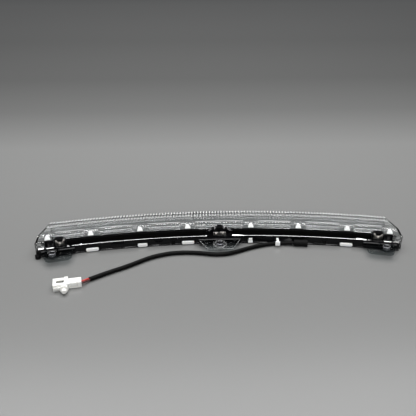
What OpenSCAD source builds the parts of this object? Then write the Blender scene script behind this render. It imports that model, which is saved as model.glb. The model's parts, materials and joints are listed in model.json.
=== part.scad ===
/* [Lamp body] */
// Plan radius of the housing's rear face
bow_r = 868; // [820:1:960]
// Half the lens length at its rear corners
half_length = 200; // [198:1:204]
// How much narrower each end is at the front than at the rear
end_taper = 10; // [6:1:14]
// Depth of the lens in front of the housing's rear face
lens_depth = 34; // [33:0.5:38]
// Height of the lens at its front top edge
lens_height = 24; // [23.5:0.5:26]
// Wall thickness of the lens and the housing
wall = 2; // [1.8:0.1:2.2]
// Height of the housing's glossy rear face
face_height = 11; // [10.6:0.2:11.4]
// Height of the lens at its rear edge
edge_height = 17.5; // [17.2:0.1:17.8]

/* [Clips] */
// Half width of the recess round each upper lens clip
recess_half = 8.2; // [7:0.1:9]
// Width of each upper lens clip
clip_w = 6; // [5:0.5:7]
// Width of the widest obround lower lens clip
pill_w = 14; // [12:0.5:15]
// Height of each obround lower lens clip
pill_h = 4; // [3:0.5:4]

/* [Mounting tabs] */
// Height of the tabs' upper faces
tab_top = 8; // [7.9:0.1:8.4]
// Thickness of the tabs
tab_t = 2; // [1.8:0.1:2.1]
// Radius of the screw hole in each mounting bush
bore_r = 2.75; // [2.2:0.05:3.1]
// Half width of the centre tab at its tip
tip_half = 13; // [12:0.5:15]

/* [LED boards] */
// Length of each board
board_len = 88; // [80:1:89]
// Height of each board
board_h = 10.5; // [10:0.5:11]
// Number of LEDs on each board
leds_per_board = 4; // [2:1:6]

/* [Harness and connector] */
// Diameter of the harness sleeve
sleeve_d = 4.8; // [4.4:0.1:4.8]
// Diameter of each bare wire
wire_d = 1.9; // [1.6:0.1:2.2]
// Length of the connector
conn_len = 28; // [27:0.5:30]
// Width of the connector's hood
hood_w = 12.5; // [12:0.5:14]
// Height of the connector's hood
hood_h = 7.6; // [7.4:0.1:8.4]

/* [Hidden] */

gap = 0.05;               // face-to-face clearance between fitted pieces
arc_fn = 720;             // segments of a full turn on the bow
rear_u = 4.4;             // rear edge of the lens, in front of the rear face
step_u = 10;              // top of the sloped band behind the lens top
step_z = lens_height - 2;
front_u = lens_depth - 2; // front top edge, a little behind the foot of the front wall
lip_u = 7;                // rear edge of the lens floor
riser_u = 3;              // rear face of the riser above the ledge
riser_top = edge_height - 0.1;
optic_u = 24;             // rear face of the fluted inner optic
clear_end_x = 190.5;      // past here the lens closes its own rear, above the glossy face
return_u = 2.9;           // rear face of that closing wall
corner_w = 4;             // width of the solid clear corners outside the housing
housing_inset = corner_w + gap;
housing_wall = housing_inset + 1.5;
foot_x = -199;            // the one round foot, under the left end
clip_x = [35.4, 88.5, 141.9, 187.1];      // upper clips, each side of the centre
pill_x = [-141.5, -86.5, -35.5, 142];     // obround lower clips
pill_cut = [0, 3, 0, 0];                  // how much narrower each one is than the widest
small_pill_x = 35.2;                      // the one narrow lower clip
vent_x = [-52, 118];
tower_x = 174.5;
exit_x = 92;              // harness grommet
exit_hole_s = 4;
hook_x = 65.5;
board_x = [-139.5, -46.5, 46.5, 139.5];
board_u = 8.4;            // rear face of the boards
board_t = 1.6;
board_z = 3.6;
post_s = board_len / 2 - 6; // screw posts, each side of a board's middle
post_root = 1.6;            // how far a post reaches into the carrier strip
led_step = board_len / leds_per_board;
junction_x = [-93, 0, 93];

// end tabs, in plan, on the +X side
tab_reach = 42.2;         // how far the end tabs reach behind the middle of the rear face
end_tab = [[160.5, -12], [160.5, -34.5], [163.5, -38], [183, -tab_reach], [186.5, -40.5], [194, -27], [194, -14]];
end_boss = [181.2, -30.2];
end_boss_r = 9.6;
centre_boss_u = -14.2;
centre_boss_r = 7.3;
centre_root_half = 22.5;
centre_tip_u = -24.5;
block_u = -6.3;           // rear of the housing's block that grips the centre tab
end_block_u = -4;
tab_low = tab_top - tab_t;
bush_r = 4.2;
bush_top = tab_top + 3;

// the whole lamp moves along Y so that its box is centred on the origin
y_shift = -(lens_depth - tab_reach) / 2;

// harness route, from the grommet to the end of the sleeve
sleeve_route = [[83.2, -7.9, 3.9], [76, -7.1, 3.3], [68, -6.6, 2.8], [60, -6.8, 2.5], [50, -8.6, 2.4],
    [40, -11.8, 2.4], [30, -16, 2.4], [22, -19.8, 2.4], [14, -23.4, 2.4], [6, -25.8, 2.4],
    [-2, -26.6, 2.4], [-10, -26, 2.4], [-18, -24.3, 2.4], [-28, -22.4, 2.4], [-40, -21.6, 2.4],
    [-54, -22.7, 2.4], [-66, -26, 2.4], [-78, -31.5, 2.4], [-90, -39.6, 2.4], [-102, -47.6, 2.4],
    [-114, -54.6, 2.4], [-126, -62, 2.4], [-136.5, -69, 2.5]];
red_route = [[-137.4, -68.3, 2.7], [-138.6, -69.2, 3], [-140.1, -70.9, 3.4], [-141.7, -72.5, 3.7],
    [-143.3, -73.5, 3.85]];
black_route = [[-136.1, -70.1, 2.4], [-137.5, -71.4, 2.6], [-139.1, -73.2, 3.1], [-141, -75.5, 3.6],
    [-142.7, -76.7, 3.85]];
conn_at = [-143.5, -75.2, 0];
conn_turn = 190.2;        // plan direction from the wires to the connector's mouth
body_len = 14;
body_half = 4.5;
pin_z = 3.85;
pin_y = 1.6;
rail_x = body_len;

function turn(x) = asin(x / bow_r);
function unit(v) = v / norm(v);

// ---- placing helpers: u is outward from the rear face, s along it ----
module lamp() { translate([0, y_shift, 0]) children(); }
module at(x, u = 0, z = 0) {
    translate([0, -bow_r, 0]) rotate([0, 0, -turn(x)]) translate([0, bow_r + u, z]) children();
}
module bow(x0, x1) {
    translate([0, -bow_r, 0])
        rotate([0, 0, 90 - turn(x1)])
            rotate_extrude(angle = turn(x1) - turn(x0), $fn = arc_fn)
                translate([bow_r, 0]) children();
}
module upright(u0, u1) { translate([0, u1, 0]) rotate([90, 0, 0]) linear_extrude(u1 - u0) children(); }
module rib(s0, s1) { translate([s0, 0, 0]) rotate([90, 0, 90]) linear_extrude(s1 - s0) children(); }
module block(s0, s1, u0, u1, z0, z1) { translate([s0, u0, z0]) cube([s1 - s0, u1 - u0, z1 - z0]); }
module mirrored() { children(); mirror([1, 0, 0]) children(); }

// the plan region between the two slanted ends, drawn in by inset
module between_ends(inset = 0) {
    reach = 45;
    slope = end_taper / 29;
    rear_x = half_length + (reach - 17) * slope - inset;
    front_x = half_length - (reach + 17) * slope - inset;
    translate([0, 0, -1]) linear_extrude(lens_height + 5)
        polygon([[-rear_x, -reach], [rear_x, -reach], [front_x, reach], [-front_x, reach]]);
}
sweep_x = half_length + 12;

// ---- the lens ----
module lens_shell() {
    polygon([[rear_u, edge_height], [step_u, step_z], [front_u, lens_height], [lens_depth, 1],
        [lens_depth - 1, 0], [lip_u, 0], [lip_u, wall], [lens_depth - 0.2 - wall, wall],
        [front_u - wall, lens_height - wall - 0.2], [step_u + 0.7, step_z - wall],
        [rear_u + 1.2, edge_height - 1.7], [rear_u, edge_height - 1.7]]);
}
module lens_end() {
    polygon([[rear_u, edge_height], [step_u, step_z], [front_u, lens_height], [lens_depth, 1],
        [lens_depth - 1, 0], [lip_u, 0], [lip_u, wall + 0.1], [rear_u, wall + 0.1]]);
}
module panel() {
    polygon([[rear_u + 0.6, edge_height + 0.4], [rear_u + 0.6, edge_height + 1.4],
        [step_u - 0.6, step_z + 0.9], [step_u + 1.6, step_z + 1.1], [step_u + 1.6, step_z + 0.1],
        [step_u, step_z - 0.1]]);
}
// the clear wall that closes the lens's rear at each end
module lens_return() {
    low = face_height + gap;
    polygon([[return_u, low], [rear_u - gap, low], [rear_u - gap, edge_height - 1.6], [rear_u + 0.3, edge_height - 1.6],
        [rear_u + 0.3, edge_height], [return_u + 0.8, edge_height], [return_u, edge_height - 0.8]]);
}
module return_end() {
    translate([return_u, 0]) square([rear_u + 0.3 - return_u, edge_height - 0.8]);
}
module corner() {
    translate([return_u, 0]) square([lip_u + 0.1 - return_u, face_height + 1]);
}
module outer_lens() {
    last = len(clip_x) - 1;
    color("#c9d2d6", 0.5) lamp() {
        intersection() { bow(-sweep_x, sweep_x) lens_shell(); between_ends(); }
        difference() {
            intersection() { bow(-sweep_x, sweep_x) lens_end(); between_ends(); }
            between_ends(wall);
        }
        mirrored() {
            intersection() { bow(clear_end_x + gap, sweep_x) lens_return(); between_ends(); }
            difference() {
                intersection() { bow(clear_end_x + 1, sweep_x) return_end(); between_ends(); }
                between_ends(wall);
            }
            difference() {
                intersection() { bow(clear_end_x + 1, sweep_x) corner(); between_ends(); }
                between_ends(corner_w);
            }
        }
        bow(-clip_x[0] + recess_half, clip_x[0] - recess_half) panel();
        mirrored() for (i = [0:last - 1])
            bow(clip_x[i] + recess_half, clip_x[i + 1] - recess_half) panel();
    }
}

module inner_optic() {
    color("#dfe6ea", 0.5) lamp() intersection() {
        bow(-sweep_x, sweep_x)
            polygon([[optic_u, 3], [optic_u + 2, 3], [optic_u + 2, lens_height - 3.6],
                [optic_u + 1, lens_height - 3.2], [optic_u, lens_height - 3.6]]);
        between_ends(wall + 2);
    }
}

// ---- the housing ----
// the glossy face's chamfered top edge and, at its foot, a low lip
function rear_edge() = [[1.5, face_height], [0.1, face_height - 0.9], [0, face_height - 1.1], [0, 1.55], [-0.6, 1.17],
    [-0.7, 1], [-0.7, 0.35], [-0.4, 0]];
module housing_shell() {
    polygon([[lip_u - 0.1, 0], [lip_u - 0.1, wall], [wall, wall], [wall, face_height - wall],
        [rear_u - 0.1, face_height - wall], [rear_u - 0.1, face_height], each rear_edge()]);
}
module housing_end() {
    polygon([[rear_u - 0.1, 0], [rear_u - 0.1, face_height], each rear_edge()]);
}
module riser() {
    translate([riser_u, face_height - wall]) square([rear_u - 0.1 - riser_u, riser_top - face_height + wall]);
}
module obround(w, h, r) {
    translate([-w / 2 + r, 0]) square([w - 2 * r, h]);
    for (s = [-1, 1]) translate([s * (w / 2 - r), h / 2]) circle(r, $fn = 32);
}
module hump() {
    difference() {
        upright(-1.2, rear_u - 0.3) {
            polygon([[-14.5, face_height - 1.6], [14.5, face_height - 1.6], [14.5, 16.4], [8, 19.5], [-8, 19.5],
                [-14.5, 16.4]]);
            translate([0, 15]) circle(7.5, $fn = 48);
        }
        block(-8, 8, -2, 1, face_height + 0.4, face_height + 5);
        block(-3, 3, -2, 1, 18.6, 20.6);
    }
}
module tower() {
    difference() {
        upright(-3, rear_u - 0.3)
            polygon([[-7, face_height - 1.8], [7, face_height - 1.8], [7, 18], [4, 21], [-4, 21], [-7, 18]]);
        block(-5.6, 5.6, -4, -1, 12.6, 22);
    }
}
module tongue_slot(x0, x1, u0) {
    bow(x0, x1) translate([u0, tab_low - gap]) square([-u0 - 0.2, tab_t + 2 * gap]);
}
module grip(x0, x1, u0) {
    bow(x0, x1) polygon([[u0, tab_low - 1.8], [0.5, tab_low - 3], [0.5, tab_top + 1.8], [-1, tab_top + 1.6],
        [u0 + 0.6, tab_top + 1.5], [u0, tab_top + 0.9]]);
}
module bracket_screw_holes(r) {
    for (s = [-1, 1]) at(s * 17, block_u / 2, 3) cylinder(r = r, h = 12, $fn = 32);
    for (x = [164, 190.5]) mirrored() at(x, end_block_u / 2, 3) cylinder(r = r, h = 12, $fn = 32);
}
module housing_tray() {
    intersection() { bow(-sweep_x, sweep_x) housing_shell(); between_ends(housing_inset); }
    difference() {
        intersection() { bow(-sweep_x, sweep_x) housing_end(); between_ends(housing_inset); }
        between_ends(housing_wall);
    }
    bow(-clear_end_x, clear_end_x) riser();
}
module rear_housing() {
    color("#141414") lamp() difference() {
        union() {
            housing_tray();
            at(0) hump();
            for (s = [-1, 1]) at(s * tower_x) tower();
            grip(-centre_root_half - 1, centre_root_half + 1, block_u);
            mirrored() grip(160, 195, end_block_u);
            at(foot_x, -0.8) cylinder(r = 3, h = 4, $fn = 32);
        }
        for (i = [0:len(pill_x) - 1]) at(pill_x[i]) upright(-1, wall + 1) translate([0, 0.8])
            obround(pill_w - pill_cut[i] + 1.4, pill_h, pill_h / 2);
        at(small_pill_x) block(-3.2, 3.2, -1, wall + 1, 0.9, 7);
        for (x = vent_x) at(x, -1, 4.6) rotate([-90, 0, 0]) cylinder(r = 1.5, h = wall + 2, $fn = 32);
        at(exit_x) translate([exit_hole_s, -1, 4.6]) rotate([-90, 0, 0]) cylinder(r = 3, h = wall + 2, $fn = 48);
        tongue_slot(-centre_root_half - 2, centre_root_half + 2, block_u - 1);
        mirrored() tongue_slot(158, 198, end_block_u - 1);
        bracket_screw_holes(1.1);
    }
}

module foam() {
    polygon([[1.45, face_height + gap], [riser_u - gap, face_height + gap], [riser_u - gap, 16.6], [1.85, 16.6],
        [1.45, 16.2]]);
}
module right_foam_strip() { color("#0c0c0c") lamp() bow(15.5, tower_x - 8) foam(); }
module left_foam_strip() { mirror([1, 0, 0]) right_foam_strip(); }

module lens_seal() {
    color("#3a3a3c") lamp() intersection() {
        union() {
            bow(-sweep_x, sweep_x) translate([rear_u, edge_height - 3.1]) square([1.2, 1.35]);
            bow(-sweep_x, sweep_x) translate([lip_u - 1.4, wall + gap]) square([2.6, 1.1]);
        }
        between_ends(corner_w + 0.5);
    }
}

// ---- lens clips ----
module upper_clip() {
    slope = atan2(step_z - edge_height, step_u - rear_u);
    translate([0, rear_u, edge_height]) rotate([slope, 0, 0]) {
        block(-clip_w / 2, clip_w / 2, 0.3, 2.4, gap, 1.3);
        block(-clip_w / 2 + 0.6, clip_w / 2 - 0.6, 2.4, 3.8, gap, 0.9);
        translate([0, 3.5, gap]) cylinder(r = 2, h = 1.7, $fn = 32);
    }
}
module upper_lens_clips() {
    color("#eef0ee") lamp() for (x = clip_x, s = [-1, 1]) at(s * x) upper_clip();
}
module lower_lens_clips() {
    color("#eef0ee") lamp() {
        for (i = [0:len(pill_x) - 1]) at(pill_x[i]) {
            upright(-1.6, wall + 0.6) translate([0, 1]) obround(pill_w - pill_cut[i], pill_h - 0.4, (pill_h - 0.4) / 2);
            block(-3, 3, wall + 0.6, 4.6, wall + gap, 4.6);
        }
        at(small_pill_x) {
            block(-2.6, 2.6, -1.6, wall + 0.6, 1.1, 3.2);
            block(-2, 2, -1.2, wall + 0.6, 3.2, 6.6);
        }
    }
}

// ---- boards ----
module board_carrier() {
    color("#b9bbba") lamp() difference() {
        union() {
            intersection() {
                bow(-sweep_x, sweep_x) translate([lip_u - 1.2, board_z]) square([1.2, board_h]);
                between_ends(corner_w + 0.5);
            }
            for (x = board_x, s = [-1, 1]) at(x) translate([s * post_s, lip_u - post_root, board_z + board_h / 2])
                rotate([-90, 0, 0]) cylinder(r = 2.4, h = board_u - lip_u + post_root - gap, $fn = 32);
        }
        for (x = board_x, s = [-1, 1]) at(x) translate([s * post_s, lip_u - 3, board_z + board_h / 2])
            rotate([-90, 0, 0]) cylinder(r = 1, h = 6, $fn = 32);
        at(exit_x) block(exit_hole_s - 4, exit_hole_s + 4, 4, 9, board_z - 1, board_z + 5);
    }
}
module led_board(x) {
    color("#1f4d35") lamp() at(x) difference() {
        block(-board_len / 2, board_len / 2, board_u, board_u + board_t, board_z, board_z + board_h);
        for (s = [-1, 1]) translate([s * post_s, board_u - 1, board_z + board_h / 2])
            rotate([-90, 0, 0]) cylinder(r = 1.2, h = board_t + 2, $fn = 32);
    }
}
module leds() {
    front = board_u + board_t + gap;
    color("#d8402f") lamp() for (x = board_x, i = [0:leds_per_board - 1]) {
        s = (i - (leds_per_board - 1) / 2) * led_step * 0.86;
        at(x) {
            block(s - 2.5, s + 2.5, front, front + 1.4, board_z + 2.75, board_z + 7.75);
            translate([s, front + 1.4, board_z + 5.25]) rotate([-90, 0, 0]) cylinder(r = 1.9, h = 0.9, $fn = 32);
        }
    }
}
module resistors() {
    front = board_u + board_t + gap;
    color("#20242a") lamp() for (x = board_x, s = [-1, 0, 1]) at(x)
        block(s * 19 - 1.6, s * 19 + 1.6, front, front + 0.6, board_z + 0.8, board_z + 2.4);
}
module board_jumpers() {
    color("#c8c9c4") lamp() for (x = junction_x) at(x)
        block(-5.5, 5.5, board_u + board_t + 1.7, board_u + board_t + 2.3, board_z + 7, board_z + 9);
}
module board_screws() {
    front = board_u + board_t + gap;
    color("#c9ccd0") lamp() for (x = board_x, s = [-1, 1]) at(x)
        translate([s * post_s, 0, board_z + board_h / 2]) rotate([-90, 0, 0]) {
            translate([0, 0, front]) cylinder(r = 2.1, h = 1.2, $fn = 32);
            translate([0, 0, lip_u - 0.8]) cylinder(r = 0.9, h = front - lip_u + 1, $fn = 32);
        }
}
module lead_wires() {
    color("#9c2620") lamp() at(exit_x) for (s = [-1.2, 1.2])
        translate([exit_hole_s + s, 2.6, 4.6]) rotate([-90, 0, 0])
            cylinder(r = 0.85, h = board_u + 0.2 - 2.6, $fn = 24);
}
module breather_caps() {
    color("#2a2a2c") lamp() for (x = vent_x) at(x, 0, 4.6) rotate([90, 0, 0]) {
        translate([0, 0, gap]) cylinder(r = 2.3, h = 0.9, $fn = 32);
        translate([0, 0, -1.6]) cylinder(r = 1.4, h = 1.7, $fn = 32);
    }
}

// ---- brackets ----
module behind_wall() { translate([0, -bow_r, -1]) cylinder(r = bow_r - 0.4, h = 40, $fn = arc_fn); }
module boss(r, top) {
    translate([0, 0, tab_low]) difference() {
        cylinder(r = r, h = top - tab_low, $fn = 64);
        translate([0, 0, tab_t]) cylinder(r = r - 1.5, h = 20, $fn = 64);
    }
}
module bush_seat() { cylinder(r = bush_r + gap, h = 60, center = true, $fn = 64); }
module right_bracket() {
    color("#d5dde0", 0.6) lamp() difference() {
        intersection() {
            union() {
                translate([0, 0, tab_low]) linear_extrude(tab_t) polygon(end_tab);
                translate(end_boss) boss(end_boss_r, tab_top + 2.5);
            }
            behind_wall();
        }
        bow(158, 198) translate([end_block_u - gap, tab_top]) square([5, 10]);
        translate(end_boss) bush_seat();
        bracket_screw_holes(1.1);
    }
}
module left_bracket() { mirror([1, 0, 0]) right_bracket(); }
module centre_bracket() {
    color("#d5dde0", 0.6) lamp() difference() {
        union() {
            intersection() {
                translate([0, 0, tab_low]) linear_extrude(tab_t)
                    polygon([[-centre_root_half, 1], [-centre_root_half, block_u], [-tip_half - 1, centre_tip_u + 1],
                        [-tip_half + 1, centre_tip_u], [tip_half - 1, centre_tip_u], [tip_half + 1, centre_tip_u + 1],
                        [centre_root_half, block_u], [centre_root_half, 1]]);
                behind_wall();
            }
            translate([0, centre_boss_u, 0]) boss(centre_boss_r, tab_top + 1.2);
        }
        translate([0, centre_boss_u, 0]) bush_seat();
        bracket_screw_holes(1.1);
    }
}
module screw(z_head) {
    translate([0, 0, z_head]) cylinder(r = 1.9, h = 1.1, $fn = 32);
    translate([0, 0, z_head - 5]) cylinder(r = 1, h = 5.2, $fn = 32);
}
module bracket_screws() {
    head = tab_top + 1.75;
    color("#8f9296") lamp() {
        for (s = [-1, 1]) at(s * 17, block_u / 2) screw(head + gap);
        for (x = [164, 190.5]) mirrored() at(x, end_block_u / 2) screw(head + gap);
    }
}
module bush(top) {
    difference() {
        translate([0, 0, tab_low]) cylinder(r = bush_r, h = top - tab_low, $fn = 64);
        cylinder(r = bore_r, h = 60, center = true, $fn = 64);
    }
}
module mount_bushes() {
    color("#b9bcc0") lamp() {
        mirrored() translate(end_boss) bush(bush_top);
        translate([0, centre_boss_u, 0]) bush(bush_top - 1);
    }
}

// ---- spring clips ----
module centre_spring_clip() {
    low = face_height + 0.6;
    color("#8b8178") lamp() at(0) {
        for (i = [-1.5:1:1.5]) block(i * 4 - 1, i * 4 + 1, -1.6, -0.9, low, low + 3.9);
        block(-7, 7, -0.9, -0.2, low, low + 4.1);
        for (s = [-1, 1]) rib(s * 5 - 1, s * 5 + 1)
            polygon([[-0.2, low + 1], [0.7, low + 1], [0.7, low + 3], [-0.2, low + 3]]);
    }
}
module end_spring_clip() {
    block(-5, 5, -1.9, -1.2, 13, 17.6);
    upright(-3.2, -1.9) polygon([[-5, 19.4], [-0.8, 14], [0.8, 14], [5, 20], [3.9, 20.6], [0, 15.8], [-3.9, 20.2]]);
    rib(-5, -3.2) polygon([[-1.9, 17.6], [-1.2, 17.6], [-1.2, 20.4], [-1.9, 20.8]]);
}
module right_spring_clip() { color("#8b8178") lamp() at(tower_x) end_spring_clip(); }
module left_spring_clip() { mirror([1, 0, 0]) right_spring_clip(); }

// ---- harness ----
module wire_grommet() {
    color("#171717") lamp() at(exit_x) {
        translate([-8, -3.9, 3.9]) rotate([0, 90, 0]) cylinder(r = 3.8, h = 15, $fn = 48);
        translate([exit_hole_s, -3.9, 4.6]) rotate([-90, 0, 0]) cylinder(r = 2.9, h = 6.3, $fn = 48);
    }
}
module harness_clip() {
    color("#e4e6e4") lamp() at(hook_x) {
        block(-1.3, 1.3, -8.8, -gap, 6.4, 7.5);
        block(-2.6, 2.6, -8.8, -7.7, 2.2, 7.5);
    }
}
// a tube along a list of points, each ring square to the route there
module tube(route, r, sides) {
    n = len(route);
    function along(i) = unit(route[min(i + 1, n - 1)] - route[max(i - 1, 0)]);
    function across(i) = unit(cross(along(i), [0, 0, 1]));
    function ring(i) = [for (k = [0:sides - 1]) let (a = 360 * (k + 0.5) / sides)
        route[i] + r * (cos(a) * across(i) + sin(a) * cross(across(i), along(i)))];
    points = [for (i = [0:n - 1]) each ring(i)];
    walls = [for (i = [0:n - 2], k = [0:sides - 1]) let (a = i * sides + k, b = i * sides + (k + 1) % sides)
        [a, b, b + sides, a + sides]];
    caps = [[for (k = [sides - 1:-1:0]) k], [for (k = [0:sides - 1]) (n - 1) * sides + k]];
    polyhedron(points, concat(walls, caps));
}
module harness_sleeve() { color("#121212") lamp() tube(sleeve_route, sleeve_d / 2, 10); }
module red_wire() { color("#c23a34") lamp() tube(red_route, wire_d / 2, 8); }
module black_wire() { color("#1c1a1a") lamp() tube(black_route, wire_d / 2, 8); }

// ---- connector ----
module connector() { lamp() translate(conn_at) rotate([0, 0, conn_turn]) children(); }
module connector_housing() {
    color("#f1f1ee") connector() difference() {
        union() {
            block(0, body_len + 1, -body_half, body_half, 0.5, 7);
            block(body_len - 1, conn_len, -hood_w / 2, hood_w / 2, 0, hood_h);
            block(body_len - 1, body_len + 2.6, -hood_w / 2, -hood_w / 2 + 2.6, hood_h - 1, hood_h + 0.9);
            block(rail_x, conn_len - 0.6, hood_w / 2 - 0.5, hood_w / 2 + 1, 3.6, 4.8);
            block(rail_x, conn_len - 0.6, hood_w / 2 + 0.9, hood_w / 2 + 1.7, 2.8, 5.6);
        }
        block(16, conn_len + 1, -hood_w / 2 + 1.2, hood_w / 2 - 1.2, 1.3, hood_h - 1.2);
        block(17, 24.5, -2, 2.3, hood_h - 2, hood_h + 1);
        block(4, 11.2, 0.9, 6, 2.1, 8);
        for (s = [-1, 1]) block(1.8, 17, s * pin_y - 1.25, s * pin_y + 1.25, pin_z - 0.45, pin_z + 0.45);
    }
}
module connector_terminals() {
    color("#c5c2b8") connector() for (s = [-1, 1])
        block(2, 22.2, s * pin_y - 1.15, s * pin_y + 1.15, pin_z - 0.35, pin_z + 0.35);
}
module terminal_retainer() {
    color("#e9e9e4") connector() difference() {
        block(4.2, 11, 1.1, 4.5, 2.3, 7);
        block(3, 12, 0.5, 4.05, pin_z - 0.65, pin_z + 0.65);
    }
}
module anchor_clip() {
    z = 4.2;
    x0 = rail_x + 0.1;
    y0 = hood_w / 2 + 0.2;
    color("#f4f4f1") connector() {
        difference() {
            block(x0, x0 + 6, y0, y0 + 2.8, z - 2.5, z + 2.5);
            block(x0 - 1, x0 + 7, y0 - 1, y0 + 0.6, z - 0.85, z + 0.85);
            block(x0 - 1, x0 + 7, y0 + 0.5, y0 + 1.75, z - 1.65, z + 1.65);
        }
        translate([x0 + 3, y0 + 2.8, z]) rotate([-90, 0, 0]) {
            cylinder(r = 4.1, h = 1, $fn = 48);
            cylinder(r = 1.8, h = 4, $fn = 32);
            translate([0, 0, 3]) cylinder(r1 = 3.1, r2 = 2, h = 2.6, $fn = 48);
        }
    }
}

outer_lens();
inner_optic();
rear_housing();
left_foam_strip();
right_foam_strip();
lens_seal();
upper_lens_clips();
lower_lens_clips();
board_carrier();
led_board(board_x[0]);  // led_board_1
led_board(board_x[1]);  // led_board_2
led_board(board_x[2]);  // led_board_3
led_board(board_x[3]);  // led_board_4
leds();
resistors();
board_jumpers();
board_screws();
lead_wires();
breather_caps();
left_bracket();
centre_bracket();
right_bracket();
bracket_screws();
mount_bushes();
left_spring_clip();
centre_spring_clip();
right_spring_clip();
wire_grommet();
harness_clip();
harness_sleeve();
red_wire();
black_wire();
connector_housing();
connector_terminals();
terminal_retainer();
anchor_clip();
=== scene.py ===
"""Third brake light: the looks, floor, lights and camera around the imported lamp."""
import json
import math

import bmesh
import bpy
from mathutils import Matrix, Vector, noise

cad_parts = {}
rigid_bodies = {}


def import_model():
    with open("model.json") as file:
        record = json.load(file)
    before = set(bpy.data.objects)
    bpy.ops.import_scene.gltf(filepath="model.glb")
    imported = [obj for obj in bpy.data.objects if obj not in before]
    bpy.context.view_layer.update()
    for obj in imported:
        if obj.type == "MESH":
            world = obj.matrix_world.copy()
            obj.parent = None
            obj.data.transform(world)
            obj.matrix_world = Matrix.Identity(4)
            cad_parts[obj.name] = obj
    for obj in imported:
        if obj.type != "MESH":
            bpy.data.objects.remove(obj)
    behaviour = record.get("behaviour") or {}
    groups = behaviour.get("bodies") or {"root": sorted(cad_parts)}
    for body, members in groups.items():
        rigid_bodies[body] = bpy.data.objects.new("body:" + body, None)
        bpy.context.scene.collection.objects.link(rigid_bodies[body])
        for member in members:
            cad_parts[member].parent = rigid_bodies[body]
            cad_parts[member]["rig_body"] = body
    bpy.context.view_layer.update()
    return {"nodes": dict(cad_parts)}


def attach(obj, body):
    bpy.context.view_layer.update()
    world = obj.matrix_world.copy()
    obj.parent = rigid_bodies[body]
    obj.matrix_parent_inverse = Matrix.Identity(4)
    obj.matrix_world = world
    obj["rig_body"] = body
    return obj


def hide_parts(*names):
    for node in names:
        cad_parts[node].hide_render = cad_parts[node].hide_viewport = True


MM = 0.001
BOW_R = 868  # plan radius of the housing's rear face, mm
Y_SHIFT = 4.1  # the bow's middle sits this far in front of the origin, mm
HALF_LENGTH = 200  # rear corners of the lens, mm
CORNER_DROP = 17  # those corners lie this far behind the bow's middle, mm
END_SLOPE = 10 / 29  # how fast the slanted ends draw in towards the front
FLUTE = 3.5  # pitch of the flutes, mm
STEPS_PER_FLUTE = 8
LAMP = "lamp"


# ---- places on the bow: an angle along it, u mm out from the rear face, z mm up ----
def on_bow(angle, u, z):
    """Row-frame point in metres at a plan angle from the middle of the bow."""
    r = BOW_R + u
    return Vector((r * math.sin(angle), r * math.cos(angle) - BOW_R + Y_SHIFT, z)) * MM


def turn(x):
    """The plan angle of a place x along the housing's rear face."""
    return math.asin(x / BOW_R)


def end_angle(u, inset=0.0):
    """The plan angle at which radius u meets the slanted end, drawn in by inset."""
    lean = math.atan(END_SLOPE)
    across = HALF_LENGTH - inset + END_SLOPE * (BOW_R - CORNER_DROP)
    across /= math.hypot(1, END_SLOPE)
    return math.asin(across / (BOW_R + u)) - lean


# ---- mesh helpers ----
def new_object(name, mesh, material, body=LAMP):
    """Links a mesh with its material, or with a list of them, and rides it on body."""
    obj = bpy.data.objects.new(name, mesh)
    bpy.context.scene.collection.objects.link(obj)
    for m in material if isinstance(material, (list, tuple)) else [material]:
        mesh.materials.append(m)
    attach(obj, body)
    return obj


def shade(mesh, angle=40.0):
    """Smooth faces, with edges sharper than angle kept sharp."""
    mesh.polygons.foreach_set("use_smooth", [True] * len(mesh.polygons))
    mesh.set_sharp_from_angle(angle=math.radians(angle))


def mesh_of(name, verts, faces, angle=40.0):
    """A mesh with its faces turned outward and its sharp edges kept."""
    mesh = bpy.data.meshes.new(name)
    mesh.from_pydata([tuple(v) for v in verts], [], faces)
    bm = bmesh.new()
    bm.from_mesh(mesh)
    bmesh.ops.recalc_face_normals(bm, faces=bm.faces)
    bm.to_mesh(mesh)
    bm.free()
    shade(mesh, angle)
    return mesh


def refined(node, material, width=0.25, segments=2, sharp=28.0, join=0.4):
    """A copy of a CAD node with its edges rounded by width mm.

    Faces that meet within join degrees are joined first, and edges sharper than sharp
    degrees are rounded. When material is a pair, the second goes on the rounded edges.
    """
    source = frame["nodes"][node]
    bm = bmesh.new()
    bm.from_mesh(source.data)
    bmesh.ops.remove_doubles(bm, verts=bm.verts, dist=2e-6)
    bmesh.ops.dissolve_limit(
        bm, angle_limit=math.radians(join), verts=bm.verts, edges=bm.edges
    )
    edges = [
        e
        for e in bm.edges
        if len(e.link_faces) == 2 and e.calc_face_angle(0.0) > math.radians(sharp)
    ]
    if width:
        bmesh.ops.bevel(
            bm,
            geom=edges,
            offset=width * MM,
            segments=segments,
            profile=0.6,
            affect="EDGES",
            clamp_overlap=True,
            material=1 if isinstance(material, tuple) else -1,
        )
    bmesh.ops.remove_doubles(bm, verts=bm.verts, dist=1e-6)
    bmesh.ops.dissolve_degenerate(bm, edges=bm.edges, dist=1e-7)
    bmesh.ops.triangulate(bm, faces=[f for f in bm.faces if len(f.verts) > 4])
    bmesh.ops.recalc_face_normals(bm, faces=bm.faces)
    mesh = bpy.data.meshes.new(node + "_shape")
    bm.to_mesh(mesh)
    bm.free()
    shade(mesh, 35.0)
    piece = new_object(node + "_piece", mesh, material, source["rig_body"])
    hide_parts(node)
    return piece


# ---- materials ----
CLOUD_LOW, CLOUD_HIGH = 0.3, 0.7  # the values that a noise texture mostly keeps between


def material(name, color, rough, metallic=0.0, **sockets):
    """A Principled material; sockets are set on the shader itself."""
    m = bpy.data.materials.new(name)
    m.use_nodes = True
    shader = m.node_tree.nodes["Principled BSDF"]
    shader.inputs["Base Color"].default_value = (*color, 1)
    shader.inputs["Roughness"].default_value = rough
    shader.inputs["Metallic"].default_value = metallic
    for key, value in sockets.items():
        shader.inputs[key.replace("_", " ")].default_value = value
    return m


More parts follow.
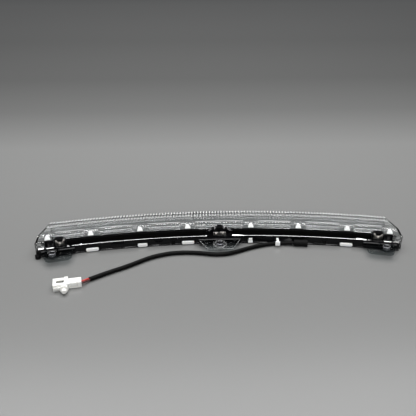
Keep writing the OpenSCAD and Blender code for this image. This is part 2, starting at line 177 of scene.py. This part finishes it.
def node(tree, kind, **inputs):
    """Adds a node; inputs are set on its sockets."""
    n = tree.nodes.new(kind)
    for key, value in inputs.items():
        n.inputs[key.replace("_", " ")].default_value = value
    return n


def textured(m, scale, color_spread, rough_spread, bump):
    """Adds cloudy colour, uneven gloss and a fine bump; scale is per metre."""
    tree = m.node_tree
    shader = tree.nodes["Principled BSDF"]
    coords = node(tree, "ShaderNodeTexCoord")
    cloud = node(tree, "ShaderNodeTexNoise", Scale=scale, Detail=4.0)
    source = coords.outputs["Object"]
    tree.links.new(source, cloud.inputs["Vector"])
    base = shader.inputs["Base Color"].default_value[:3]
    ramp = node(tree, "ShaderNodeValToRGB")
    low, high = ramp.color_ramp.elements
    low.position, high.position = CLOUD_LOW, CLOUD_HIGH
    low.color = (*[max(0.0, c * (1 - color_spread)) for c in base], 1)
    high.color = (*[min(1.0, c * (1 + color_spread)) for c in base], 1)
    tree.links.new(cloud.outputs["Fac"], ramp.inputs["Fac"])
    tree.links.new(ramp.outputs["Color"], shader.inputs["Base Color"])
    rough = shader.inputs["Roughness"].default_value
    spread = node(tree, "ShaderNodeMapRange")
    spread.inputs["From Min"].default_value = CLOUD_LOW
    spread.inputs["From Max"].default_value = CLOUD_HIGH
    spread.inputs["To Min"].default_value = max(0.02, rough - rough_spread)
    spread.inputs["To Max"].default_value = min(1.0, rough + rough_spread)
    tree.links.new(cloud.outputs["Fac"], spread.inputs["Value"])
    tree.links.new(spread.outputs["Result"], shader.inputs["Roughness"])
    fine = node(tree, "ShaderNodeTexNoise", Scale=scale * 6, Detail=3.0)
    tree.links.new(source, fine.inputs["Vector"])
    relief = node(tree, "ShaderNodeBump", Strength=bump, Distance=0.0002)
    tree.links.new(fine.outputs["Fac"], relief.inputs["Height"])
    tree.links.new(relief.outputs["Normal"], shader.inputs["Normal"])


def waved(tree, scale, strength, distance):
    """Adds a cloudy bump to a material's shader and returns its noise node."""
    coords = node(tree, "ShaderNodeTexCoord")
    cloud = node(tree, "ShaderNodeTexNoise", Scale=scale, Detail=3.0)
    tree.links.new(coords.outputs["Object"], cloud.inputs["Vector"])
    relief = node(tree, "ShaderNodeBump", Strength=strength, Distance=distance)
    tree.links.new(cloud.outputs["Fac"], relief.inputs["Height"])
    shader = tree.nodes["Principled BSDF"]
    tree.links.new(relief.outputs["Normal"], shader.inputs["Normal"])
    return cloud


def partly_clear(m, tint, cover):
    """Lets a material cover only a share of its surface; the rest is clear in tint."""
    tree = m.node_tree
    through = node(tree, "ShaderNodeBsdfTransparent", Color=tint)
    mix = node(tree, "ShaderNodeMixShader", Fac=cover)
    tree.links.new(through.outputs["BSDF"], mix.inputs[1])
    tree.links.new(tree.nodes["Principled BSDF"].outputs["BSDF"], mix.inputs[2])
    out = tree.nodes["Material Output"]
    tree.links.new(mix.outputs["Shader"], out.inputs["Surface"])
    return m


def clear(name, tint, shade, rough=0.02, ior=1.49):
    """Clear plastic that bends the view; shade is the share of light that it passes."""
    m = material(name, tint, rough, Transmission_Weight=1.0, IOR=ior)
    tree = m.node_tree
    shader = tree.nodes["Principled BSDF"]
    out = tree.nodes["Material Output"]
    path = node(tree, "ShaderNodeLightPath")
    through = node(tree, "ShaderNodeBsdfTransparent", Color=(shade, shade, shade, 1))
    mix = node(tree, "ShaderNodeMixShader")
    tree.links.new(path.outputs["Is Shadow Ray"], mix.inputs["Fac"])
    tree.links.new(shader.outputs["BSDF"], mix.inputs[1])
    tree.links.new(through.outputs["BSDF"], mix.inputs[2])
    tree.links.new(mix.outputs["Shader"], out.inputs["Surface"])
    cloud = waved(tree, 90.0, 0.12, 0.0003)
    spread = node(tree, "ShaderNodeMapRange")
    spread.inputs["To Min"].default_value = max(0.0, rough - 0.015)
    spread.inputs["To Max"].default_value = rough + 0.03
    tree.links.new(cloud.outputs["Fac"], spread.inputs["Value"])
    tree.links.new(spread.outputs["Result"], shader.inputs["Roughness"])
    return m


def painted_highlight(name, cover):
    """Painted highlight: clear plastic painted white over the given share of it, standing
    in for glints of light.
    """
    return partly_clear(material(name, (0.92, 0.93, 0.93), 0.35), (1, 1, 1, 1), cover)


def painted_shade_clear(name, cover):
    """Clear plastic with painted shade: glossy black over the given share of it, the rest
    clear in a grey tint, standing in for the shadow seen through it.
    """
    m = material(name, (0.006, 0.0065, 0.007), 0.06)
    waved(m.node_tree, 70.0, 0.15, 0.0004)
    return partly_clear(m, (0.8, 0.825, 0.83, 1), cover)


def make_materials():
    mats = {
        # Painted highlights: the beads' crests, brighter on the top row, and the panels'
        # upper edges are painted white to stand in for glints.
        "bead_highlight": painted_highlight("bead_highlight", 0.85),
        "bead_dim_highlight": painted_highlight("bead_dim_highlight", 0.45),
        "ledge": painted_highlight("ledge_line", 0.3),
        "lens": clear("clear_lens", (0.84, 0.85, 0.85), 0.6),
        "optic": clear("clear_optic", (0.92, 0.94, 0.95), 0.8, 0.03),
        # Painted shade on the brackets' clear plastic.
        "bracket": painted_shade_clear("bracket_painted_shade", 0.14),
        # Painted highlight: near-white on the brackets' rounded edges, standing in for
        # light caught by the clear edges.
        "bracket_edge_highlight": material(
            "bracket_edge_highlight", (0.93, 0.95, 0.95), 0.15, Specular_IOR_Level=1.0
        ),
        "black": material(
            "gloss_black", (0.003, 0.003, 0.0035), 0.1, Specular_IOR_Level=0.12
        ),
        "black_edge": material(
            "polished_edge",
            (0.003, 0.003, 0.0035),
            0.06,
            Specular_IOR_Level=0.9,
            IOR=1.9,
        ),
        "foam": material(
            "black_foam", (0.002, 0.002, 0.002), 0.9, Specular_IOR_Level=0.05
        ),
        "seal": material("seal_bead", (0.02, 0.02, 0.021), 0.6),
        # Two copies of the clips' plastic: painted light makes the lower clips brighter
        # where they face away from the key (the harness clip shares it), and painted shade
        # makes the top-lit upper clips duller.
        "milky_painted_light": material(
            "milky_nylon_painted_light", (0.93, 0.94, 0.93), 0.2, Subsurface_Weight=0.3
        ),
        "upper_clip_painted_shade": material("clip_nylon_painted_shade", (0.72, 0.73, 0.72), 0.25),
        "carrier": material("carrier_grey", (0.3, 0.31, 0.31), 0.5),
        "board": material("solder_mask", (0.012, 0.07, 0.035), 0.35),
        "led_case": material("led_case", (0.75, 0.74, 0.7), 0.4),
        "led_red": material(
            "led_red", (0.55, 0.02, 0.015), 0.08, Transmission_Weight=0.4
        ),
        "resistor": material("resistor", (0.015, 0.015, 0.018), 0.45),
        "cable": material("flat_cable", (0.62, 0.62, 0.6), 0.5),
        "zinc": material("zinc_plate", (0.55, 0.56, 0.58), 0.3, 1.0),
        "bush": material("turned_bush", (0.28, 0.28, 0.3), 0.16, 1.0),
        "spring": material("spring_steel", (0.35, 0.33, 0.31), 0.35, 1.0),
        "rubber": material(
            "black_rubber", (0.003, 0.003, 0.003), 0.6, Specular_IOR_Level=0.1
        ),
        "sleeve": material(
            "sleeve_vinyl", (0.002, 0.002, 0.002), 0.4, Specular_IOR_Level=0.08
        ),
        "red": material("red_insulation", (0.5, 0.035, 0.03), 0.35),
        # Painted shade: a darker copy of the red insulation, for the second wire.
        "red_painted_shade": material("red_insulation_painted_shade", (0.05, 0.01, 0.01), 0.35),
        "nylon": material(
            "white_nylon", (0.83, 0.83, 0.8), 0.36, Subsurface_Weight=0.15
        ),
        "tin": material("tin_plate", (0.62, 0.6, 0.55), 0.3, 1.0),
    }
    for key in ("milky_painted_light", "nylon"):
        shader = mats[key].node_tree.nodes["Principled BSDF"]
        shader.inputs["Subsurface Radius"].default_value = (0.002, 0.0018, 0.0016)
        shader.inputs["Subsurface Scale"].default_value = 0.6
    # Each material's grain: scale per metre, spread of tone, spread of gloss, bump.
    grain = {
        "black": (60, 0.15, 0.05, 0.04),
        "black_edge": (60, 0.15, 0.02, 0.02),
        "bracket_edge_highlight": (200, 0.2, 0.05, 0.1),
        "upper_clip_painted_shade": (200, 0.06, 0.05, 0.1),
        "foam": (900, 0.3, 0.04, 0.9),
        "seal": (300, 0.2, 0.1, 0.4),
        "milky_painted_light": (200, 0.04, 0.05, 0.1),
        "carrier": (400, 0.08, 0.08, 0.3),
        "board": (500, 0.2, 0.1, 0.1),
        "led_case": (400, 0.05, 0.05, 0.1),
        "resistor": (600, 0.1, 0.1, 0.1),
        "cable": (300, 0.08, 0.08, 0.2),
        "zinc": (500, 0.1, 0.1, 0.15),
        "bush": (700, 0.08, 0.05, 0.02),
        "spring": (300, 0.25, 0.1, 0.05),
        "rubber": (500, 0.15, 0.1, 0.4),
        "sleeve": (350, 0.2, 0.1, 0.5),
        "red": (300, 0.1, 0.08, 0.1),
        "red_painted_shade": (300, 0.1, 0.08, 0.1),
        "nylon": (250, 0.03, 0.06, 0.12),
        "tin": (500, 0.08, 0.1, 0.1),
    }
    for key, (scale, tone, gloss, bump) in grain.items():
        textured(mats[key], scale, tone, gloss, bump)
    return mats


# ---- the camera ----
def make_camera():
    data = bpy.data.cameras.new("camera")
    data.sensor_width = 36
    data.lens = 49.4
    data.clip_start = 0.01
    cam = bpy.data.objects.new("camera", data)
    bpy.context.scene.collection.objects.link(cam)
    cam.location = (-0.0333, -0.5493, 0.3403)
    cam.rotation_euler = (math.radians(62), 0, math.radians(-2.11))
    bpy.context.scene.camera = cam


# ---- the harness: routes in mm, with y counted from the middle of the bow ----
SLEEVE_ROUTE = [
    (83.2, -7.9, 3.9), (76, -7.1, 3.3), (68, -6.6, 2.8), (60, -6.8, 2.5), (50, -8.6, 2.4),
    (40, -11.8, 2.4), (30, -16, 2.4), (22, -19.8, 2.4), (14, -23.4, 2.4), (6, -25.8, 2.4),
    (-2, -26.6, 2.4), (-10, -26, 2.4), (-18, -24.3, 2.4), (-28, -22.4, 2.4),
    (-40, -21.6, 2.4), (-54, -22.7, 2.4), (-66, -26, 2.4), (-78, -31.5, 2.4),
    (-90, -39.6, 2.4), (-102, -47.6, 2.4), (-114, -54.6, 2.4), (-126, -62, 2.4),
    (-136.5, -69, 2.5),
]
# Both wires start a little inside the sleeve and end a little inside the connector.
RED_ROUTE = [
    (-136.1, -67.5, 2.6), (-137.4, -68.3, 2.7), (-138.6, -69.2, 3), (-140.1, -70.9, 3.4),
    (-141.7, -72.5, 3.7), (-143.3, -73.5, 3.85), (-144.3, -73.7, 3.85),
]
BLACK_ROUTE = [
    (-134.8, -69.3, 2.4), (-136.1, -70.1, 2.4), (-137.5, -71.4, 2.6), (-139.1, -73.2, 3.1),
    (-141, -75.5, 3.6), (-142.7, -76.7, 3.85), (-143.7, -76.9, 3.85),
]
SLEEVE_RADIUS, WRINKLE_DEPTH = 2.34, 0.09  # mm
WRINKLES_ALONG, WRINKLES_AROUND = 46, 0.8  # noise cells along the sleeve and around it
WIRE_RADIUS = 0.93  # mm


def row_points(route):
    """A route's points in the row frame, in metres."""
    return [Vector((x, y + Y_SHIFT, z)) * MM for x, y, z in route]


def smooth_path(points, steps):
    """Points along a smooth curve through the given ones."""
    n = len(points)
    out = []
    for i in range(n - 1):
        p0, p1 = points[max(i - 1, 0)], points[i]
        p2, p3 = points[i + 1], points[min(i + 2, n - 1)]
        for k in range(steps):
            t = k / steps
            out.append(
                0.5
                * (
                    2 * p1
                    + (p2 - p0) * t
                    + (2 * p0 - 5 * p1 + 4 * p2 - p3) * t * t
                    + (3 * p1 - p0 - 3 * p2 + p3) * t**3
                )
            )
    out.append(points[-1].copy())
    return out


def tube(name, path, radius_at, sides, material):
    """A tube along path; radius_at(share along, angle) is a vertex's radius in metres."""
    verts, faces = [], []
    n = len(path)
    up = Vector((0, 0, 1))
    for i, p in enumerate(path):
        along = (path[min(i + 1, n - 1)] - path[max(i - 1, 0)]).normalized()
        across = along.cross(up).normalized()
        over = across.cross(along)
        for k in range(sides):
            a = 2 * math.pi * k / sides
            r = radius_at(i / (n - 1), a)
            verts.append(p + r * (math.cos(a) * across + math.sin(a) * over))
    for i in range(n - 1):
        for k in range(sides):
            a, b = i * sides + k, i * sides + (k + 1) % sides
            faces.append((a, b, b + sides, a + sides))
    faces.append(tuple(range(sides - 1, -1, -1)))
    faces.append(tuple(range((n - 1) * sides, n * sides)))
    return new_object(name, mesh_of(name, verts, faces, 50), material)


def make_harness(mats):
    path = smooth_path(row_points(SLEEVE_ROUTE), 8)

    def sleeve_radius(share, a):
        y, z = math.cos(a) * WRINKLES_AROUND, math.sin(a) * WRINKLES_AROUND
        wrinkle = noise.noise(Vector((share * WRINKLES_ALONG, y, z)))
        return (SLEEVE_RADIUS + WRINKLE_DEPTH * wrinkle) * MM

    sleeve = tube("sleeve_tube", path, sleeve_radius, 20, mats["sleeve"])
    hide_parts("harness_sleeve")
    for name, route, key, slot in (
        ("red_wire", RED_ROUTE, "red", "wire_red"),
        # The second wire wears the red insulation's painted-shade copy.
        ("black_wire", BLACK_ROUTE, "red_painted_shade", "wire_black"),
    ):
        wire = tube(
            name + "_lead",
            smooth_path(row_points(route), 6),
            lambda share, a: WIRE_RADIUS * MM,
            14,
            mats[key],
        )
        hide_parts(name)
    connector = [
        refined("connector_housing", mats["nylon"], 0.35, 3),
        refined("connector_terminals", mats["tin"], 0.1, 1),
        refined("terminal_retainer", mats["nylon"], 0.2, 2),
        refined("anchor_clip", mats["nylon"], 0.3, 3),
    ]


# ---- the lens and the optic ----
def stations(half_length):
    """Shares from -1 to 1 along the bow, each with its place in its flute."""
    n = int(round(2 * half_length / FLUTE)) * STEPS_PER_FLUTE
    return [
        (-1 + 2 * i / n, (i % STEPS_PER_FLUTE) / STEPS_PER_FLUTE) for i in range(n + 1)
    ]


def crown(phase):
    """Height of one flute's rounded top, from 0 at its edges to 1 in its middle."""
    return 1 - (2 * phase - 1) ** 2


# Where the raised panels run along x, mm; those beside the middle one come in pairs.
PANELS = [(-27, 27), (43.6, 80.3), (96.7, 133.7), (150.1, 178.9)]
DRAFT = 0.6  # length of a panel's drafted sides, mm


def panel_height(x):
    """1 on a raised panel and 0 in a recess, with short drafted sides."""
    best = 0.0
    for low, high in PANELS + [(-b, -a) for a, b in PANELS[1:]]:
        best = max(best, min(1.0, max(0.0, min(x - low, high - x) / DRAFT + 0.5)))
    return best


# Each row of an outline is u, z, then how far a flute's crown pushes it in u and in z.
TOP_BEADS = [
    (29.6, 23.8, 0, 0), (30.2, 23.86, 0, 0.35), (31, 23.94, 0.1, 0.5), (32, 24, 0.25, 0.5),
    (32.45, 23.6, 0.5, 0.4), (32.65, 23.0, 0.4, 0.1), (32.7, 22.2, 0.1, 0),
]
SECOND_BEADS = [
    (24.2, 23.29, 0, 0), (24.9, 23.35, 0, 0.35), (26, 23.46, 0, 0.45),
    (26.9, 23.52, 0, 0.35), (27.4, 23.57, 0, 0),
]
OUTER = (
    [(11.7, 22.16, 0, 0), (14, 22.36, 0, 0), (18, 22.73, 0, 0), (22, 23.09, 0, 0)]
    + SECOND_BEADS
    + [(28.8, 23.7, 0, 0)]
    + TOP_BEADS
    + [(33.1, 17, 0, 0), (33.6, 9, 0, 0), (34, 1.4, 0, 0), (33.8, 0.5, 0, 0)]
    + [(33.1, 0, 0, 0), (26, 0, 0, 0), (16, 0, 0, 0), (7, 0, 0, 0)]
)
INNER = [
    (7, 2, 0, 0), (16, 2, 0, 0), (26, 2, 0, 0), (32, 2, 0, 0), (32.5, 2.5, -0.1, 0),
    (32.4, 3.2, -0.4, 0), (31.9, 11, -0.4, 0), (31.3, 20.6, -0.4, 0), (31, 22.2, -0.2, 0),
    (30.2, 22.6, 0, 0), (23.6, 21.7, 0, 0), (23.3, 21.67, 0, -0.16), (17, 21.1, 0, -0.16),
    (12, 20.65, 0, -0.16), (11.6, 20.5, 0, 0), (10.7, 20.3, 0, 0), (5.6, 16.1, 0, 0),
    (4.4, 16.1, 0, 0),
]
# The sloped band at the rear: u, z in a recess, then u, z on a raised panel.
SLOPE = [
    (4.4, 17.5, 4.4, 17.5), (4.95, 17.94, 4.95, 17.94), (5.0, 17.98, 5.0, 18.9),
    (7.0, 19.59, 7.0, 20.75), (8.6, 20.87, 8.6, 22.2), (9.9, 21.92, 9.85, 23.0),
    (10.3, 22.03, 10.3, 23.12), (11.5, 22.14, 11.5, 23.2),
]
BRIGHT_HIGHLIGHT, DIM_HIGHLIGHT, LEDGE_HIGHLIGHT = 1, 2, 3  # the lens's material slots after the clear one, each a painted highlight
BEAD_CREST = (0.36, 0.64)  # the part of each flute that a bead's painted highlight covers
WALL = 0.9  # thickness of the lens's slanted ends, mm
CLEAR_WALL_FROM = 190.6  # where the clear wall beside the housing starts, mm
CORNER = 4  # how long the solid clear corners are, mm
BEAD_RISE = 0.3  # a bead's rows of painted highlight are the ones that its crown lifts this far, mm
LEDGE_U = 10  # where a panel's upper edge is, mm from the rear face
LEDGE_QUADS = (5, 6)  # the slope's quads that make that edge and carry its painted highlight
ON_PANEL = 0.9  # share of a panel's rise that counts as on it
OPTIC_INSET = 4.5  # between the lens's slanted ends and the inner optic's, mm


def skin(verts, faces, rings, closed=False):
    """Adds rings of points and the quads between them; returns their vertex numbers."""
    base, m = len(verts), len(rings[0])
    for ring in rings:
        verts.extend(ring)
    ids = [[base + i * m + j for j in range(m)] for i in range(len(rings))]
    for a, b in zip(ids, ids[1:]):
        for j in range(m if closed else m - 1):
            k = (j + 1) % m
            faces.append((a[j], a[k], b[k], b[j]))
    return ids


def sweep(verts, faces, section, side, low, high, steps):
    """Adds a solid at one side: a ring of (u, z) swept from angle low(u) to high(u)."""
    rings = []
    for i in range(steps + 1):
        t = i / steps
        rings.append(
            [on_bow(side * (low(u) * (1 - t) + high(u) * t), u, z) for u, z in section]
        )
    ids = skin(verts, faces, rings, closed=True)
    faces += [tuple(ids[0]), tuple(ids[-1])]


def lens_rings(outline, inset, shares, slope=()):
    """The outline at each station, between the slanted ends drawn in by inset."""
    rings = []
    for share, phase in shares:
        push = crown(phase)
        ring = []
        for u0, z0, u1, z1 in slope:
            angle = share * end_angle(u0, inset)
            rise = panel_height(BOW_R * math.sin(angle))
            ring.append(on_bow(angle, u0 + (u1 - u0) * rise, z0 + (z1 - z0) * rise))
        for u, z, du, dz in outline:
            angle = share * end_angle(u, inset)
            ring.append(on_bow(angle, u + du * push, z + dz * push))
        rings.append(ring)
    return rings


def make_lens(mats):
    shares = stations(half_length=198)
    verts, faces = [], []
    outer = skin(verts, faces, lens_rings(OUTER, 0, shares, SLOPE))
    quads_per_ring = len(outer[0]) - 1
    # Quads that carry painted highlights: the beads' crests and the panels' upper edges.
    highlight_rows = {}
    for beads, slot in ((TOP_BEADS, BRIGHT_HIGHLIGHT), (SECOND_BEADS, DIM_HIGHLIGHT)):
        first = len(SLOPE) + OUTER.index(beads[0])
        for j in range(len(beads) - 1):
            if max(beads[j][3], beads[j + 1][3]) >= BEAD_RISE:
                highlight_rows[first + j] = slot
    slots = []
    for i in range(len(outer) - 1):
        middle = shares[i][1] + 0.5 / STEPS_PER_FLUTE
        crest = BEAD_CREST[0] < middle < BEAD_CREST[1]
        row = [highlight_rows.get(j, 0) if crest else 0 for j in range(quads_per_ring)]
        x = BOW_R * math.sin(shares[i][0] * end_angle(LEDGE_U))
        if panel_height(x) > ON_PANEL:
            for quad in LEDGE_QUADS:
                row[quad] = LEDGE_HIGHLIGHT
        slots += row
    inner = skin(verts, faces, lens_rings(INNER, WALL, shares))
    for a, b, c, d in zip(outer, outer[1:], inner, inner[1:]):
        faces.append((a[-1], b[-1], d[0], c[0]))
        faces.append((a[0], b[0], d[-1], c[-1]))
    for ring, core in ((outer[0], inner[0]), (outer[-1], inner[-1])):
        faces.append(tuple(ring))
        faces.append(tuple(core))
        faces.append((ring[0], ring[-1], core[0], core[-1]))
    # Clear walls and solid corners close the lens's rear beside the housing.
    wall = [(2.9, 11.05), (4.3, 11.05), (4.3, 17.4), (3.6, 17.4), (2.9, 16.7)]
    corner = [(2.9, 0.1), (6.9, 0.1), (6.9, 11), (2.9, 11)]
    for side in (-1, 1):
        sweep(verts, faces, wall, side, lambda u: turn(CLEAR_WALL_FROM), end_angle, 4)
        sweep(verts, faces, corner, side, lambda u: end_angle(u, CORNER), end_angle, 2)
    slots += [0] * (len(faces) - len(slots))
    mesh = mesh_of("lens_shell", verts, faces, 45)
    surfaces = [mats[key] for key in ("lens", "bead_highlight", "bead_dim_highlight", "ledge")]
    lens = new_object("lens_shell", mesh, surfaces)
    mesh.polygons.foreach_set("material_index", slots)
    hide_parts("outer_lens")


def make_optic(mats):
    outline = [
        (24, 3, 0, 0), (24, 12, 0, 0), (24, 20.2, 0, 0.3), (24.3, 20.7, 0, 0.5),
        (25, 20.9, 0.1, 0.5), (25.7, 20.7, 0.2, 0.5), (26, 20.2, 0.4, 0.3),
        (26, 12, 0.4, 0), (26, 3, 0.4, 0),
    ]
    verts, faces = [], []
    rings = lens_rings(outline, OPTIC_INSET, stations(half_length=190))
    ids = skin(verts, faces, rings, closed=True)
    faces += [tuple(ids[0]), tuple(ids[-1])]
    mesh = mesh_of("optic_bar", verts, faces, 45)
    optic = new_object("optic_bar", mesh, mats["optic"])
    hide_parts("inner_optic")


FOOT_TOP = 3  # the housing's foot lip is all plain black below this height, mm
CHAMFER_TILT = (0.75, 0.93)  # upward lean of the faces that are the polished chamfer


def make_cad_pieces(mats):
    blacks = (mats["black"], mats["black_edge"])
    housing = refined("rear_housing", blacks, 0.12, 2, sharp=30, join=0.05)
    for polygon in housing.data.polygons:
        if polygon.center.z < FOOT_TOP * MM:
            polygon.material_index = 0
        elif CHAMFER_TILT[0] < polygon.normal.z < CHAMFER_TILT[1]:
            polygon.material_index = 1
    shade(housing.data, 12.0)
    for side in ("left", "right"):
        refined(side + "_foam_strip", mats["foam"], 0.3, 2)
        # The brackets take painted shade, with a painted highlight on their rounded edges.
        refined(side + "_bracket", (mats["bracket"], mats["bracket_edge_highlight"]), 0.9, 1)
        refined(side + "_spring_clip", mats["spring"], 0.12, 1)
    refined("centre_bracket", (mats["bracket"], mats["bracket_edge_highlight"]), 0.9, 1)
    refined("centre_spring_clip", mats["spring"], 0.12, 1)
    refined("lens_seal", mats["seal"], 0.3, 2)
    # Upper clips in the painted-shade copy, lower clips in the painted-light copy.
    refined("upper_lens_clips", mats["upper_clip_painted_shade"], 0.3, 2)
    refined("lower_lens_clips", mats["milky_painted_light"], 1.1, 4)
    refined("board_carrier", mats["carrier"], 0.15, 1)
    for i in range(1, 5):
        refined(f"led_board_{i}", mats["board"], 0.1, 1)
    refined("leds", mats["led_red"], 0.25, 2)
    refined("resistors", mats["resistor"], 0.1, 1)
    refined("board_jumpers", mats["cable"], 0.15, 1)
    refined("board_screws", mats["zinc"], 0.25, 2)
    refined("lead_wires", mats["red"], 0)
    refined("breather_caps", mats["rubber"], 0.2, 2)
    refined("bracket_screws", mats["black"], 0.3, 2)
    refined("mount_bushes", mats["bush"], 0.3, 2)
    refined("wire_grommet", mats["rubber"], 0.4, 2)
    refined("harness_clip", mats["milky_painted_light"], 0.3, 2)


# ---- floor and lights ----
# Painted light and shade on the sheet: its tone at distances behind the origin, in metres,
# standing in for how the light falls off across the floor and backdrop.
FLOOR_PAINTED_LIGHT = [
    (-0.35, 0.15), (0, 0.185), (0.3, 0.225), (0.48, 0.155), (0.7, 0.13), (1.1, 0.18),
    (1.75, 0.38),
]


def make_floor():
    mesh = bpy.data.meshes.new("floor")
    size = 6.0
    corners = [(-size, -size, 0), (size, -size, 0), (size, size, 0), (-size, size, 0)]
    mesh.from_pydata(corners, [], [(0, 1, 2, 3)])
    floor = bpy.data.objects.new("floor", mesh)
    bpy.context.scene.collection.objects.link(floor)
    # The floor's colour is painted light: a tone ramp along y stands in for the light's
    # falloff.
    m = material("floor_sheet", (0.2, 0.202, 0.198), 0.25, Specular_IOR_Level=0.5)
    tree = m.node_tree
    coords = node(tree, "ShaderNodeTexCoord")
    split = node(tree, "ShaderNodeSeparateXYZ")
    tree.links.new(coords.outputs["Object"], split.inputs["Vector"])
    nearest, farthest = FLOOR_PAINTED_LIGHT[0][0], FLOOR_PAINTED_LIGHT[-1][0]
    reach = node(tree, "ShaderNodeMapRange")
    reach.inputs["From Min"].default_value = nearest
    reach.inputs["From Max"].default_value = farthest
    tree.links.new(split.outputs["Y"], reach.inputs["Value"])
    ramp = node(tree, "ShaderNodeValToRGB")
    tree.links.new(reach.outputs["Result"], ramp.inputs["Fac"])
    shader = tree.nodes["Principled BSDF"]
    tree.links.new(ramp.outputs["Color"], shader.inputs["Base Color"])
    stops = ramp.color_ramp.elements
    for i, (y, tone) in enumerate(FLOOR_PAINTED_LIGHT):
        place = (y - nearest) / (farthest - nearest)
        stop = stops[i] if i < 2 else stops.new(place)
        stop.position = place
        stop.color = (tone, tone * 1.006, tone * 0.99, 1)
    mesh.materials.append(m)


def area_light(name, place, size, power):
    """A rectangular light in metres and watts, turned towards the lamp."""
    data = bpy.data.lights.new(name, "AREA")
    data.shape = "RECTANGLE"
    data.size, data.size_y = size
    data.energy = power
    lamp = bpy.data.objects.new(name, data)
    bpy.context.scene.collection.objects.link(lamp)
    lamp.location = place
    direction = -Vector(place)
    lamp.rotation_euler = direction.to_track_quat("-Z", "Y").to_euler()


def make_light():
    world = bpy.data.worlds.new("studio")
    bpy.context.scene.world = world
    world.use_nodes = True
    background = world.node_tree.nodes["Background"]
    background.inputs["Color"].default_value = (0.5, 0.51, 0.52, 1)
    background.inputs["Strength"].default_value = 0.22
    area_light("key", (0.0, 0.5, 1.05), (1.6, 0.6), 13.5)
    # The housing's chamfer mirrors this strip.
    area_light("edge_strip", (0.0, -0.112, 1.15), (1.5, 0.085), 9)
    area_light("tip_strip", (0.0, -0.69, 1.15), (1.5, 0.12), 7)
    area_light("front_fill", (0.15, -1.5, 0.8), (1.0, 0.6), 7)
    bpy.context.scene.view_settings.view_transform = "Standard"
    bpy.context.scene.cycles.caustics_refractive = False
    bpy.context.scene.cycles.caustics_reflective = False


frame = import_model()
make_camera()
mats = make_materials()
make_harness(mats)
make_lens(mats)
make_optic(mats)
make_cad_pieces(mats)
make_floor()
make_light()
